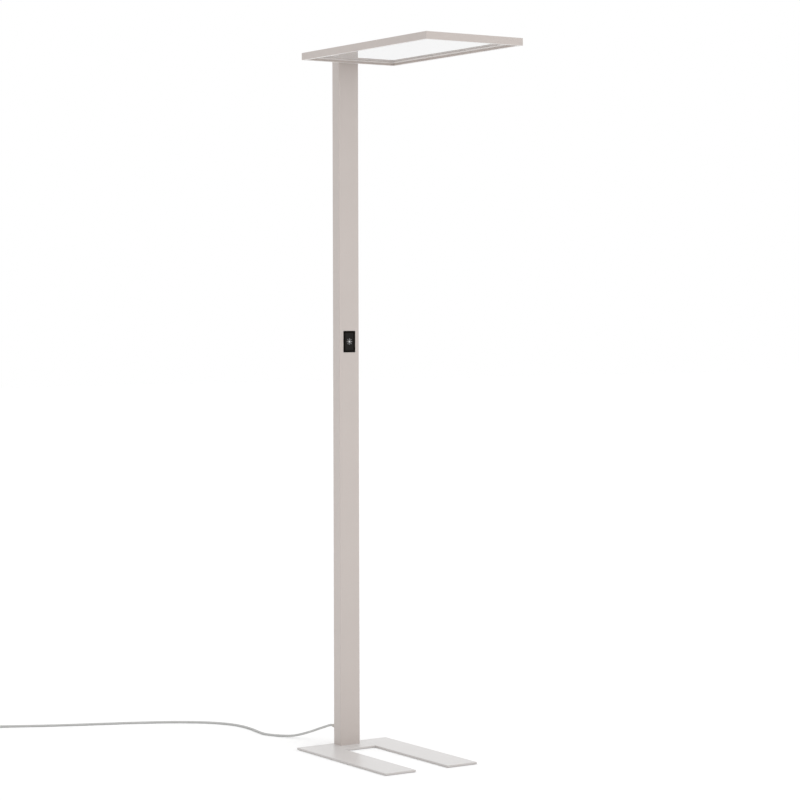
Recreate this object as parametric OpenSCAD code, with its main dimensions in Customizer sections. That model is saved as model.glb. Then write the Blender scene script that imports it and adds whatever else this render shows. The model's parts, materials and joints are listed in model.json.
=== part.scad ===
// Office floor lamp: a flat rectangular head on a slim column that stands on a forked steel plate.
// A push button sits in the column, and a mains lead leaves the column at the rear.
// Origin: on the floor, on the column's axis. +Z is up, the head reaches along -Y, +X is to the right.

/* [Overall] */
// Height from the floor to the top of the head
lamp_h = 1950; // [1600:5:2200]

/* [Base] */
// Width of the base plate
base_w = 296; // [240:1:400]
// Length of the base plate, from its rear edge to the ends of its legs
base_l = 458; // [380:1:600]
// Thickness of the base plate
base_t = 6; // [5:0.5:12]
// Width of each leg
leg_w = 97; // [60:1:105]
// Depth of the bar that joins the legs at the rear
rear_bar_l = 97; // [70:1:140]
// Radius of the plate's corners
base_corner_r = 2; // [1:0.5:10]
// Distance from the plate's rear edge to the column
column_setback = 10; // [6:1:25]
// Thickness of the floor pads
pad_t = 0.5; // [0.5:0.25:3]
// Diameter of the floor pads
pad_d = 22; // [16:1:28]
// Distance from the plate's edges to the centre of a pad
pad_inset = 20; // [16:1:30]

/* [Column] */
// Width of the column
column_w = 64; // [60:1:80]
// Depth of the column
column_d = 36; // [34:1:50]
// Wall of the column's tube
column_wall = 2.5; // [2:0.1:3]
// Radius of the column's long edges
column_edge_r = 1.2; // [0.4:0.1:2]
// Thickness of the column's cap
cap_t = 2; // [2:0.1:4]
// Height of the foot block inside the column
foot_block_h = 32; // [26:1:34]
// Height of the top block inside the column
top_block_h = 50; // [46:1:80]

/* [Head] */
// Width of the head
head_w = 308; // [260:1:360]
// Length of the head
head_l = 622; // [480:1:800]
// Height of the head
head_t = 20; // [20:0.5:24]
// Wall of the head's rails
rail_wall = 2; // [1.6:0.1:2.2]
// Width of the rim under the head
rim_w = 10; // [9.5:0.1:12]
// Height of the rim below the ledge
rim_step = 6; // [5:0.1:6.5]
// Width of the ledge that carries the diffuser
ledge_w = 19; // [16:0.5:24]
// Thickness of the lower diffuser
diffuser_t = 2; // [1.5:0.1:2.2]
// Thickness of the light guide
guide_t = 4; // [3.5:0.1:4.2]
// Thickness of the upper diffuser
upper_diffuser_t = 2; // [1.5:0.1:2.2]
// Thickness of the top cover
cover_t = 1.5; // [1.2:0.1:2]
// Width of the top cover's border round its window
cover_border = 36; // [30:1:60]
// Length of the bar that stiffens the rear rail
mount_bar_l = 160; // [80:1:170]
// Spacing of the two screws that hold the head
head_screw_spacing = 36; // [32:1:40]

/* [Button] */
// Height of the button's centre above the floor
button_z = 1144; // [900:1:1180]
// Width of the bezel
bezel_w = 39; // [38:0.5:44]
// Height of the bezel
bezel_h = 60.5; // [58:0.5:70]
// How far the bezel stands proud of the column
bezel_proud = 0.8; // [0.5:0.1:1.5]
// Width of the bezel's lip over the column
bezel_lip = 1.6; // [1.2:0.1:1.8]
// Width of the key
key_w = 27; // [24:0.5:29]
// Height of the key
key_h = 49.5; // [40:0.5:52]
// Travel of the key
key_travel = 1.2; // [0.6:0.1:1.5]
// Diameter of the sun symbol on the key
sun_d = 18; // [10:0.5:23]

/* [Driver] */
// Height of the driver bracket's centre above the floor
driver_z = 1340; // [1310:5:1400]
// Width of the driver
driver_w = 44; // [30:1:50]
// Length of the driver's case
driver_l = 150; // [100:1:160]
// Depth of the driver's case
driver_d = 18; // [14:0.5:19]

/* [Mains lead] */
// Distance from the column's left side to the centre of the cable gland
gland_inset = 12; // [11:0.5:16]
// Height of the cable gland above the floor
gland_z = 54; // [51:1:60]
// Diameter of the mains lead
cord_d = 6.5; // [5.5:0.1:6.6]
// Outer diameter of the cable gland
gland_d = 12; // [11:0.5:16]
// Length of the cable gland outside the column
gland_l = 11; // [8:0.5:16]
// Length of the tapered strain relief
relief_l = 15; // [12:0.5:20]
// Diameter of the plug's body
plug_d = 37; // [34:0.5:40]
// Length of the plug's body
plug_l = 34; // [30:0.5:40]
// Length of the plug's tapered tail
plug_tail_l = 24; // [20:0.5:40]
// Length of the plug's pins
pin_l = 19; // [16:0.5:20]
// Diameter of the plug's pins
pin_d = 4.8; // [4:0.1:5]
// Distance between the plug's pins
pin_spacing = 19; // [18:0.5:20]
// Turns in the coil of spare lead
coil_turns = 5; // [3:1:7]
// Radius of the coil's outermost turn
coil_r = 47; // [45:0.5:60]
// Distance from turn to turn and from layer to layer in the coil
coil_pitch = 7.1; // [7:0.1:8]

/* [Hidden] */

paint = [0.77, 0.74, 0.72];
black_plastic = [0.13, 0.13, 0.12];
opal = [0.95, 0.96, 0.96];
bare_metal = [0.72, 0.72, 0.74];
steel = [0.62, 0.62, 0.64];
cable_grey = [0.7, 0.71, 0.71];
dark_rubber = [0.18, 0.18, 0.18];

// Fine enough for every round hole and shaft
$fn = 48;
// Overshoot of a cut past the surface that it opens
cut = 1;
// Clearance between a block or board and the walls round it
slip = 0.2;
// Clearance of a screw in its clearance hole, on the radius
screw_clear = 0.25;
// Clearance of a screw in its tapped hole, on the radius
thread_clear = 0.05;

// Heights of the main levels
plate_z = pad_t;
plate_top = plate_z + base_t;
cap_z = lamp_h - cap_t;
head_z = lamp_h - head_t;

// Faces of the column
front_y = -column_d / 2;
rear_y = column_d / 2;
inner_front_y = front_y + column_wall;
inner_rear_y = rear_y - column_wall;
inner_w = column_w - 2 * column_wall;
inner_d = column_d - 2 * column_wall;

// Edges of the base plate
base_rear_y = rear_y + column_setback;
base_front_y = base_rear_y - base_l;
slot_rear_y = base_rear_y - rear_bar_l;

// Screws of the foot block and the plate
base_screw_r = 3;
base_screw_head_r = 6;
base_screw_x = 22;
base_screw_y = 8;
base_screw_grip = 18;

// Screws in the column's rear wall
rear_screw_r = 2.5;
rear_screw_head_r = 4.5;
rear_screw_head_t = 2.4;
rear_screw_x = 12;
rear_screw_l = 14;
foot_screw_z = plate_top + foot_block_h / 2;
top_screw_z = cap_z - 34;

// Screws of the cap
cap_screw_r = 2;
cap_screw_head_r = 3.8;
cap_screw_head_t = 1.6;
cap_screw_x = 24;
cap_screw_y = 8;
cap_screw_l = 14;

// Way of the lead through the top block into the head
lead_slot_w = 12;
lead_slot_d = 19;
lead_slot_top = 3;
lead_hole_r = 4;

// Rail of the head, measured inwards from its outer face and up from its lower face
ledge_t = 2;
rail_inner = rim_w + ledge_w;
ledge_top = rim_step + ledge_t;
flange_w = rim_w;
flange_t = 2;
flange_top = head_t - cover_t;

// Stack of optical sheets on the ledge
sheet_inset = rim_w + 2.4;
board_t = 1.2;
board_h = 7;
board_gap = 0.2;
strip_over = 3;
led_depth = 0.7;
led_h = 2.4;
led_w = 3;
led_pitch = 24;
guide_z = ledge_top + diffuser_t;
upper_z = guide_z + guide_t;
foam_z = upper_z + upper_diffuser_t;
foam_w = 8;
foam_gap = 2;
foam_t = flange_top - foam_z;

// Screws of the top cover
cover_screw_r = 1.5;
cover_screw_head_r = 2.6;
cover_screw_head_t = 1;
cover_screw_l = 4;
cover_screw_in = rail_wall + 4;
cover_clear = 0.3;
cover_rows = 4;
cover_end = 60;
cover_bar_gap = 12;
cover_window_r = 4;

// Bar and screws that hold the head
mount_bar_t = 2;
head_screw_r = 2.5;
head_screw_head_r = 4.2;
head_screw_head_t = 3;
head_screw_l = 26;
head_screw_end_y = front_y - rail_wall - mount_bar_t + head_screw_l;
head_screw_z = head_z + head_t - 8;
corner_key_l = 40;
corner_key_t = 5;
corner_key_gap = 0.1;

// Connector and wires in the head
connector_w = 16;
connector_d = 7.5;
connector_h = 7;
strip_wire_r = 0.8;
strip_wire_in = rim_w + 0.4;
led_lead_r = 2;

// Push button, in depth from the bezel's front to the back cover
skirt_w = bezel_w - 2 * bezel_lip;
skirt_h = bezel_h - 2 * bezel_lip;
skirt_wall = 1.6;
cavity_w = skirt_w - 2 * skirt_wall;
cavity_h = skirt_h - 2 * skirt_wall;
lip_t = 2.5;
key_gap = 0.3;
key_proud = 0.2;
key_flange_t = 1.2;
key_rest_gap = 0.05;
key_post_r = 2.5;
key_post_l = 4;
stop_gap = 0.2;
plunger_r = 1.75;
plunger_clear = 0.05;
plunger_l = 2.6;
switch_side = 12;
switch_t = 4;
switch_hole_depth = 2.8;
pcb_t = 1.6;
boss_side = 5;
board_screw_r = 1;
board_screw_head_r = 1.9;
board_screw_head_t = 1;
board_screw_l = 5;
switch_cover_t = 1.5;
clip_w = 10;
clip_l = 2;
clip_h = 1;
clip_gap = 0.1;
bezel_front_y = front_y - bezel_proud;
key_front_y = bezel_front_y - key_proud;
lip_back_y = bezel_front_y + lip_t;
flange_front_y = lip_back_y + key_rest_gap;
flange_back_y = flange_front_y + key_flange_t;
post_end_y = flange_back_y + key_post_l;
switch_front_y = post_end_y + key_travel + stop_gap;
board_front_y = switch_front_y + switch_t;
board_back_y = board_front_y + pcb_t;
skirt_back_y = board_back_y + board_screw_head_t + 0.5;
boss_front_y = flange_back_y + key_travel + stop_gap;
sun_dot_r = sun_d / 6;
sun_ray_w = sun_d / 20;
sun_ray_start = sun_d * 0.28;
symbol_t = 0.3;

// Driver and its bracket
bracket_t = 1.5;
bracket_w = 50;
bracket_end = 40;
bracket_l = driver_l + 2 * bracket_end;
bracket_screw_in = 10;
driver_tab_l = 9;
driver_tab_t = 2;
driver_screw_r = 1.5;
driver_screw_head_r = 2.8;
driver_screw_head_t = 1.6;
bracket_front_y = inner_rear_y - bracket_t;
driver_front_y = bracket_front_y - driver_d;
terminal_w = 40;
terminal_d = 12;
terminal_h = 14;
terminal_gap = 10;
driver_wire_x = [-15, -12, 12, 15];
terminal_z = driver_z - driver_l / 2 - terminal_gap - terminal_h;
switch_lead_r = 2;

// Gland and strain relief
gland_bore_r = cord_d / 2 + slip;
gland_thread_r = 4.8;
gland_thread_l = 6;
gland_nut_across = 12;
gland_nut_t = 4;
gland_x = gland_inset - column_w / 2;
relief_thick_r = gland_d / 2 - 0.6;
relief_tip_r = cord_d / 2 + 0.7;
relief_start_y = rear_y + gland_l;
relief_end_y = relief_start_y + relief_l;

// Route of the free lead, from the strain relief down to the floor and on to the coil
coil_centre = [-742, 884];
route_points = [
    [-21, 64, 50.8], [-23, 88, 42.8], [-27, 112, 34.5], [-34, 138, 24.6], [-43, 164, 15.5], [-54, 187, 8.5],
    [-66, 206, 4.8], [-82, 228, 3.7], [-97, 253, 3.4], [-106, 282, 3.4], [-105, 312, 3.4],
    [-101, 342, 3.4], [-97, 380, 3.4], [-97, 420, 3.4], [-103, 458, 3.4], [-118, 496, 3.4],
    [-144, 534, 3.4], [-182, 570, 3.4], [-232, 606, 3.4], [-292, 640, 3.4], [-360, 672, 3.4],
    [-432, 702, 3.4], [-504, 732, 3.4], [-574, 764, 3.4], [-640, 798, 3.4], [-694, 826, 3.6]
];
route_steps = 3;

// Coil of the spare lead, wound inwards on the floor and outwards again on top
tie_t = 0.8;
tie_w = 8;
tie_gap = 0.1;
tie_bend_gap = 0.6;
tie_angle = 45;
coil_rings = 24;
coil_sides = 6;
cord_sides = 8;
coil_low_z = cord_d / 2 + tie_t + tie_gap;
coil_start_angle = 270;
tail_rise = 62;
tail_steps = 8;
plug_clear = 0.3;
plug_axis_z = plug_d / 2 + plug_clear;
plug_y = coil_centre[1] - coil_r;
plug_start_x = coil_centre[0] - cord_d - tail_rise - cord_d;
plug_tip_r = cord_d / 2 + 1;
plug_tail_r = 9;
plug_edge_r = 3;
contact_w = 6;
contact_t = 1.2;
contact_l = 22;
pin_root = 10;

// ---------------------------------------------------------------- helpers

// Rectangle about its centre with round corners
module round_rect(w, l, r) {
    square([w - 2 * r, l], center = true);
    square([w, l - 2 * r], center = true);
    for (x = [-1, 1], y = [-1, 1])
        translate([x * (w / 2 - r), y * (l / 2 - r)])
            circle(r = r);
}

// What stands along +Z is laid along +Y
module along_y() {
    rotate([-90, 0, 0])
        children();
}

// Countersunk screw along +Z, with its head's flat face at the origin and its shank above
module countersunk_screw(shank_r, head_r, head_t, length) {
    difference() {
        union() {
            rotate_extrude()
                polygon([[0, 0], [head_r, 0], [shank_r, head_t], [0, head_t]]);
            cylinder(r = shank_r, h = length);
        }
        translate([0, 0, -cut])
            cylinder(r = shank_r * 0.6, h = head_t + cut, $fn = 6);
    }
}

// Space that a countersunk screw needs in the sheet that it holds
module countersunk_hole(shank_r, head_r, head_t, depth) {
    rotate_extrude()
        polygon([[0, 0], [head_r, 0], [shank_r, head_t], [0, head_t]]);
    cylinder(r = shank_r, h = depth);
    translate([0, 0, -cut])
        cylinder(r = head_r, h = cut);
}

// Low cap screw along +Z, with the underside of its head at the origin
module cap_screw(shank_r, head_r, head_t, length) {
    difference() {
        union() {
            translate([0, 0, -head_t])
                cylinder(r = head_r, h = head_t);
            cylinder(r = shank_r, h = length);
        }
        translate([0, 0, -head_t - cut])
            cylinder(r = shank_r * 0.7, h = head_t * 0.7 + cut, $fn = 6);
    }
}

function unit(v) = v / norm(v);
function direction(path, i) = unit(path[min(i + 1, len(path) - 1)] - path[max(i - 1, 0)]);
function ring(path, i, r, sides, side_axis) =
    let (t = direction(path, i), n = unit(cross(side_axis, t)), b = cross(t, n))
    [for (k = [0:sides - 1]) let (a = 360 * (k + 0.5) / sides) path[i] + r * (n * cos(a) + b * sin(a))];
function path_length(path) =
    let (steps = [for (i = [1:len(path) - 1]) norm(path[i] - path[i - 1])])
    steps * [for (s = steps) 1];

// Closed round tube along a path; side_axis is a direction that the path never takes
module tube(path, r, sides, side_axis = [0, 0, 1]) {
    last = len(path) - 1;
    points = [for (i = [0:last]) each ring(path, i, r, sides, side_axis)];
    walls = [for (i = [0:last - 1], k = [0:sides - 1])
        let (a = i * sides + k, b = i * sides + (k + 1) % sides)
        each [[a, a + sides, b], [b, a + sides, b + sides]]];
    start_cap = [for (k = [1:sides - 2]) [0, k, k + 1]];
    end_cap = [for (k = [1:sides - 2]) [last * sides, last * sides + k + 1, last * sides + k]];
    polyhedron(points = points, faces = concat(walls, start_cap, end_cap), convexity = 10);
}

// Quarter turn of a path in the plane of two directions, from a point that heads along the first
quarter_steps = 6;
function quarter(from, heading, towards, r) = [
    for (i = [1:quarter_steps])
        let (a = 90 * i / quarter_steps)
        from + r * sin(a) * heading + r * (1 - cos(a)) * towards
];

// ---------------------------------------------------------------- base

pad_points = [
    for (x = [-1, 1]) each [
        [x * (base_w / 2 - pad_inset), base_rear_y - pad_inset],
        [x * (base_w / 2 - leg_w / 2), base_front_y + pad_inset],
        [x * (base_w / 2 - leg_w / 2), (base_front_y + slot_rear_y) / 2]
    ],
    [0, 0]
];

module base_plate() {
    color(paint)
        difference() {
            translate([0, base_rear_y, plate_z])
                linear_extrude(height = base_t) {
                    translate([0, -rear_bar_l / 2])
                        round_rect(base_w, rear_bar_l, base_corner_r);
                    for (x = [-1, 1])
                        translate([x * (base_w - leg_w) / 2, -base_l / 2])
                            round_rect(leg_w, base_l, base_corner_r);
                }
            for (x = [-1, 1], y = [-1, 1])
                translate([x * base_screw_x, y * base_screw_y, plate_z])
                    countersunk_hole(base_screw_r + screw_clear, base_screw_head_r + screw_clear,
                        base_screw_head_r - base_screw_r, base_t + cut);
        }
}

module floor_pads() {
    color(dark_rubber)
        for (p = pad_points)
            translate([p[0], p[1], 0])
                cylinder(d = pad_d, h = pad_t);
}

module base_screws() {
    color(steel)
        for (x = [-1, 1], y = [-1, 1])
            translate([x * base_screw_x, y * base_screw_y, plate_z])
                countersunk_screw(base_screw_r, base_screw_head_r, base_screw_head_r - base_screw_r,
                    base_t + base_screw_grip);
}

module foot_block() {
    color(bare_metal)
        difference() {
            translate([-inner_w / 2 + slip, -inner_d / 2 + slip, plate_top])
                cube([inner_w - 2 * slip, inner_d - 2 * slip, foot_block_h]);
            for (x = [-1, 1], y = [-1, 1])
                translate([x * base_screw_x, y * base_screw_y, plate_top - cut])
                    cylinder(r = base_screw_r + thread_clear, h = base_screw_grip + 2 * cut);
            for (x = [-1, 1])
                translate([x * rear_screw_x, rear_y - rear_screw_l - cut, foot_screw_z])
                    along_y()
                        cylinder(r = rear_screw_r + thread_clear, h = rear_screw_l + 2 * cut);
        }
}

// ---------------------------------------------------------------- column

rear_screw_points = [
    for (x = [-1, 1]) each [[x * rear_screw_x, foot_screw_z], [x * rear_screw_x, top_screw_z]],
    [0, driver_z - bracket_l / 2 + bracket_screw_in],
    [0, driver_z + bracket_l / 2 - bracket_screw_in]
];

module column_tube() {
    color(paint)
        difference() {
            translate([0, 0, plate_top])
                linear_extrude(height = cap_z - plate_top)
                    difference() {
                        round_rect(column_w, column_d, column_edge_r);
                        square([inner_w, inner_d], center = true);
                    }
            // Opening for the push button
            translate([-skirt_w / 2 - slip, front_y - cut, button_z - skirt_h / 2 - slip])
                cube([skirt_w + 2 * slip, column_wall + 2 * cut, skirt_h + 2 * slip]);
            // Hole for the cable gland
            translate([gland_x, inner_rear_y - cut, gland_z])
                along_y()
                    cylinder(r = gland_thread_r + slip, h = column_wall + 2 * cut);
            // Holes for the screws in the rear wall
            for (p = rear_screw_points)
                translate([p[0], inner_rear_y - cut, p[1]])
                    along_y()
                        cylinder(r = rear_screw_r + screw_clear, h = column_wall + 2 * cut);
            // Holes for the head's screws and for the lead into the head
            for (x = [-1, 1])
                translate([x * head_screw_spacing / 2, front_y - cut, head_screw_z])
                    along_y()
                        cylinder(r = head_screw_r + screw_clear, h = column_wall + 2 * cut);
            translate([0, front_y - cut, head_screw_z])
                along_y()
                    cylinder(r = lead_hole_r, h = column_wall + 2 * cut);
        }
}

module column_cap() {
    color(paint)
        difference() {
            translate([0, 0, cap_z])
                linear_extrude(height = cap_t)
                    round_rect(column_w, column_d, column_edge_r);
            for (x = [-1, 1])
                translate([x * cap_screw_x, cap_screw_y, lamp_h])
                    mirror([0, 0, 1])
                        countersunk_hole(cap_screw_r + screw_clear, cap_screw_head_r + screw_clear,
                            cap_screw_head_t, cap_t + cut);
        }
}

module cap_screws() {
    color(steel)
        for (x = [-1, 1])
            translate([x * cap_screw_x, cap_screw_y, lamp_h])
                mirror([0, 0, 1])
                    countersunk_screw(cap_screw_r, cap_screw_head_r, cap_screw_head_t, cap_screw_l);
}

// The top block bears on the column's front wall, where the head pulls at it
module top_block() {
    color(bare_metal)
        difference() {
            translate([-inner_w / 2 + slip, inner_front_y, cap_z - top_block_h])
                cube([inner_w - 2 * slip, inner_d - slip, top_block_h]);
            translate([-lead_slot_w / 2, inner_front_y - cut, cap_z - top_block_h - cut])
                cube([lead_slot_w, lead_slot_d + cut, top_block_h - lead_slot_top + cut]);
            for (x = [-1, 1])
                translate([x * head_screw_spacing / 2, inner_front_y - cut, head_screw_z])
                    along_y()
                        cylinder(r = head_screw_r + thread_clear,
                            h = head_screw_end_y - inner_front_y + 2 * cut);
            for (x = [-1, 1])
                translate([x * rear_screw_x, rear_y - rear_screw_l - cut, top_screw_z])
                    along_y()
                        cylinder(r = rear_screw_r + thread_clear, h = rear_screw_l + 2 * cut);
            for (x = [-1, 1])
                translate([x * cap_screw_x, cap_screw_y, lamp_h - cap_screw_l - cut])
                    cylinder(r = cap_screw_r + thread_clear, h = cap_screw_l + cut);
        }
}

module rear_screws() {
    color(steel)
        for (p = rear_screw_points)
            translate([p[0], rear_y, p[1]])
                mirror([0, 1, 0])
                    along_y()
                        cap_screw(rear_screw_r, rear_screw_head_r, rear_screw_head_t, rear_screw_l);
}

// ---------------------------------------------------------------- head

// Section of a rail: outer wall, rim below, ledge for the sheets and flange for the cover
module rail_section() {
    polygon([
        [0, 0], [rim_w, 0], [rim_w, rim_step], [rail_inner, rim_step], [rail_inner, ledge_top],
        [rim_w - rail_wall, ledge_top], [rim_w - rail_wall, rail_wall], [rail_wall, rail_wall],
        [rail_wall, flange_top - flange_t], [flange_w, flange_top - flange_t], [flange_w, flange_top],
        [rail_wall, flange_top], [rail_wall, head_t], [0, head_t]
    ]);
}

// Rail along X with its outer face at y = 0, its inner side towards +Y and both ends mitred
module rail(length) {
    difference() {
        rotate([90, 0, 90])
            linear_extrude(height = length, center = true)
                rail_section();
        for (side = [0, 1])
            mirror([side, 0, 0])
                translate([length / 2, 0, -cut])
                    rotate([0, 0, 45])
                        translate([0, -2 * rail_inner, 0])
                            cube([2 * rail_inner, 4 * rail_inner, head_t + 2 * cut]);
    }
}

head_mid_y = front_y - head_l / 2;
cover_screw_points = [
    for (x = [-1, 1]) each [
        for (i = [0:cover_rows - 1])
            let (share = i / (cover_rows - 1) - 0.5)
            [x * (head_w / 2 - cover_screw_in), head_mid_y + share * (head_l - 2 * cover_end)],
        [x * head_w / 4, front_y - head_l + cover_screw_in],
        [x * (mount_bar_l / 2 + cover_bar_gap), front_y - cover_screw_in]
    ]
];

module cover_screw_bores() {
    for (p = cover_screw_points)
        translate([p[0], p[1], head_z + flange_top - flange_t - cut])
            cylinder(r = cover_screw_r + thread_clear, h = flange_t + 2 * cut);
}

module rail_left() {
    color(paint)
        difference() {
            translate([-head_w / 2, head_mid_y, head_z])
                rotate([0, 0, -90])
                    rail(head_l);
            cover_screw_bores();
        }
}

module rail_right() {
    color(paint)
        difference() {
            translate([head_w / 2, head_mid_y, head_z])
                rotate([0, 0, 90])
                    rail(head_l);
            cover_screw_bores();
        }
}

module rail_front() {
    color(paint)
        difference() {
            translate([0, front_y - head_l, head_z])
                rail(head_w);
            cover_screw_bores();
        }
}

// Holes for the head's screws and its lead, through what lies between y_from and y_to
module head_holes(y_from, y_to) {
    for (x = [-1, 1])
        translate([x * head_screw_spacing / 2, y_from, head_screw_z])
            along_y()
                cylinder(r = head_screw_r + screw_clear, h = y_to - y_from);
    translate([0, y_from, head_screw_z])
        along_y()
            cylinder(r = lead_hole_r, h = y_to - y_from);
}

module rail_rear() {
    color(paint)
        difference() {
            translate([0, front_y, head_z])
                rotate([0, 0, 180])
                    rail(head_w);
            cover_screw_bores();
            head_holes(front_y - rail_wall - cut, front_y + cut);
        }
}

// L-shaped keys in the channels of the rails, one in each mitred corner
module corner_keys() {
    arm_w = rim_w - 2 * rail_wall - 2 * corner_key_gap;
    key_at = rail_wall + corner_key_gap;
    color(bare_metal)
        translate([0, head_mid_y, head_z + rail_wall])
            for (x = [0, 1], y = [0, 1])
                mirror([x, 0, 0])
                    mirror([0, y, 0])
                        translate([head_w / 2 - key_at, head_l / 2 - key_at, 0])
                            linear_extrude(height = corner_key_t)
                                polygon([
                                    [0, 0], [0, -corner_key_l], [-arm_w, -corner_key_l],
                                    [-arm_w, -arm_w], [-corner_key_l, -arm_w], [-corner_key_l, 0]
                                ]);
}

module mount_bar() {
    color(steel)
        difference() {
            translate([-mount_bar_l / 2, front_y - rail_wall - mount_bar_t, head_z + rail_wall])
                cube([mount_bar_l, mount_bar_t, flange_top - flange_t - rail_wall]);
            head_holes(front_y - rail_wall - mount_bar_t - cut, front_y - rail_wall + cut);
        }
}

module head_screws() {
    color(steel)
        for (x = [-1, 1])
            translate([x * head_screw_spacing / 2, front_y - rail_wall - mount_bar_t, head_screw_z])
                along_y()
                    cap_screw(head_screw_r, head_screw_head_r, head_screw_head_t, head_screw_l);
}

// Sheet of the optical stack, between two heights above the head's lower face
module sheet(inset, z, t) {
    translate([-head_w / 2 + inset, front_y - head_l + inset, head_z + z])
        cube([head_w - 2 * inset, head_l - 2 * inset, t]);
}

module diffuser() {
    color(opal)
        sheet(sheet_inset, ledge_top, diffuser_t);
}

module light_guide() {
    color([0.85, 0.92, 0.95])
        sheet(sheet_inset, guide_z, guide_t);
}

module upper_diffuser() {
    color(opal)
        sheet(sheet_inset, upper_z, upper_diffuser_t);
}

// Strips of light sources that face the long edges of the light guide
board_in = sheet_inset - board_gap - led_depth - board_t;
strip_l = head_l - 2 * sheet_inset + 2 * strip_over;
led_count = floor(strip_l / led_pitch);

module led_strips() {
    color([0.93, 0.93, 0.9])
        for (side = [0, 1])
            mirror([side, 0, 0])
                translate([-head_w / 2 + board_in, head_mid_y, head_z + ledge_top]) {
                    translate([0, -strip_l / 2, 0])
                        cube([board_t, strip_l, board_h]);
                    for (i = [0:led_count - 1])
                        translate([board_t, (i + 0.5 - led_count / 2) * led_pitch - led_w / 2,
                            guide_z - ledge_top + (guide_t - led_h) / 2])
                            cube([led_depth, led_w, led_h]);
                }
}

connector_back_y = front_y - rail_wall - mount_bar_t - slip;

module led_connector() {
    color(opal)
        translate([-connector_w / 2, connector_back_y - connector_d, head_z + ledge_top])
            cube([connector_w, connector_d, connector_h]);
}

// Flat run of wire from the connector to each strip, resting on the ledge
module strip_wires() {
    wire_l = head_w / 2 - board_in - board_t - connector_w / 2;
    color("white")
        for (side = [0, 1])
            mirror([side, 0, 0])
                translate([connector_w / 2, front_y - strip_wire_in, head_z + ledge_top + strip_wire_r])
                    rotate([0, 90, 0])
                        cylinder(r = strip_wire_r, h = wire_l, $fn = 24);
}

// Foam strips that hold the sheets down under the cover
module hold_down_strips() {
    foam_in = sheet_inset + foam_gap;
    color([0.3, 0.3, 0.3])
        difference() {
            sheet(foam_in, foam_z, foam_t);
            translate([0, 0, -cut])
                sheet(foam_in + foam_w, foam_z, foam_t + 2 * cut);
        }
}

module top_cover() {
    cover_in = rail_wall + cover_clear;
    color(paint)
        difference() {
            translate([0, head_mid_y, head_z + flange_top])
                linear_extrude(height = cover_t)
                    difference() {
                        square([head_w - 2 * cover_in, head_l - 2 * cover_in], center = true);
                        round_rect(head_w - 2 * cover_border, head_l - 2 * cover_border,
                            cover_window_r);
                    }
            for (p = cover_screw_points)
                translate([p[0], p[1], lamp_h])
                    mirror([0, 0, 1])
                        countersunk_hole(cover_screw_r + screw_clear, cover_screw_head_r + screw_clear,
                            cover_screw_head_t, cover_t + cut);
        }
}

module cover_screws() {
    color(steel)
        for (p = cover_screw_points)
            translate([p[0], p[1], lamp_h])
                mirror([0, 0, 1])
                    countersunk_screw(cover_screw_r, cover_screw_head_r, cover_screw_head_t,
                        cover_screw_l);
}

// ---------------------------------------------------------------- push button

// Block about the button's centre line, from one depth to another
module button_slab(w, h, y_from, y_to) {
    translate([-w / 2, y_from, button_z - h / 2])
        cube([w, y_to - y_from, h]);
}

board_corners = [
    for (x = [-1, 1], z = [-1, 1])
        [x * (cavity_w / 2 - boss_side / 2), button_z + z * (cavity_h / 2 - boss_side / 2)]
];

module switch_bezel() {
    color(black_plastic)
        difference() {
            union() {
                difference() {
                    union() {
                        button_slab(bezel_w, bezel_h, bezel_front_y, front_y);
                        button_slab(skirt_w, skirt_h, front_y, skirt_back_y);
                        button_slab(clip_w, skirt_h + 2 * clip_h, inner_front_y + clip_gap,
                            inner_front_y + clip_gap + clip_l);
                    }
                    button_slab(key_w + 2 * key_gap, key_h + 2 * key_gap,
                        bezel_front_y - cut, lip_back_y + cut);
                    button_slab(cavity_w, cavity_h, lip_back_y, skirt_back_y + cut);
                }
                for (p = board_corners)
                    translate([p[0] - boss_side / 2, boss_front_y, p[1] - boss_side / 2])
                        cube([boss_side, board_front_y - boss_front_y, boss_side]);
            }
            for (p = board_corners)
                translate([p[0], board_back_y - board_screw_l - cut, p[1]])
                    along_y()
                        cylinder(r = board_screw_r + thread_clear, h = board_screw_l + cut, $fn = 24);
        }
}

// Sun symbol as a flat shape: a dot and eight rays
module sun() {
    circle(r = sun_dot_r, $fn = 24);
    for (a = [0:45:315])
        rotate(a)
            translate([sun_ray_start, -sun_ray_w / 2])
                square([sun_d / 2 - sun_ray_start, sun_ray_w]);
}

module button_key() {
    color([0.15, 0.15, 0.15])
        difference() {
            union() {
                button_slab(key_w, key_h, key_front_y, flange_back_y);
                button_slab(cavity_w - 2 * key_gap, cavity_h - 2 * key_gap,
                    flange_front_y, flange_back_y);
                translate([0, flange_back_y, button_z])
                    along_y()
                        cylinder(r = key_post_r, h = key_post_l);
            }
            translate([0, key_front_y + symbol_t, button_z])
                rotate([90, 0, 0])
                    linear_extrude(height = symbol_t + cut)
                        sun();
        }
}

module button_symbol() {
    color("white")
        translate([0, key_front_y + symbol_t, button_z])
            rotate([90, 0, 0])
                linear_extrude(height = symbol_t)
                    sun();
}

module switch_plunger() {
    color("ivory")
        translate([0, post_end_y, button_z])
            along_y()
                cylinder(r = plunger_r, h = plunger_l);
}

module tact_switch() {
    color([0.25, 0.25, 0.27])
        difference() {
            button_slab(switch_side, switch_side, switch_front_y, board_front_y);
            translate([0, switch_front_y - cut, button_z])
                along_y()
                    cylinder(r = plunger_r + plunger_clear, h = switch_hole_depth + cut);
        }
}

module switch_board() {
    color([0.1, 0.4, 0.2])
        difference() {
            button_slab(cavity_w - 2 * key_gap, cavity_h - 2 * key_gap, board_front_y, board_back_y);
            for (p = board_corners)
                translate([p[0], board_front_y - cut, p[1]])
                    along_y()
                        cylinder(r = board_screw_r + screw_clear, h = pcb_t + 2 * cut, $fn = 24);
        }
}

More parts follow.
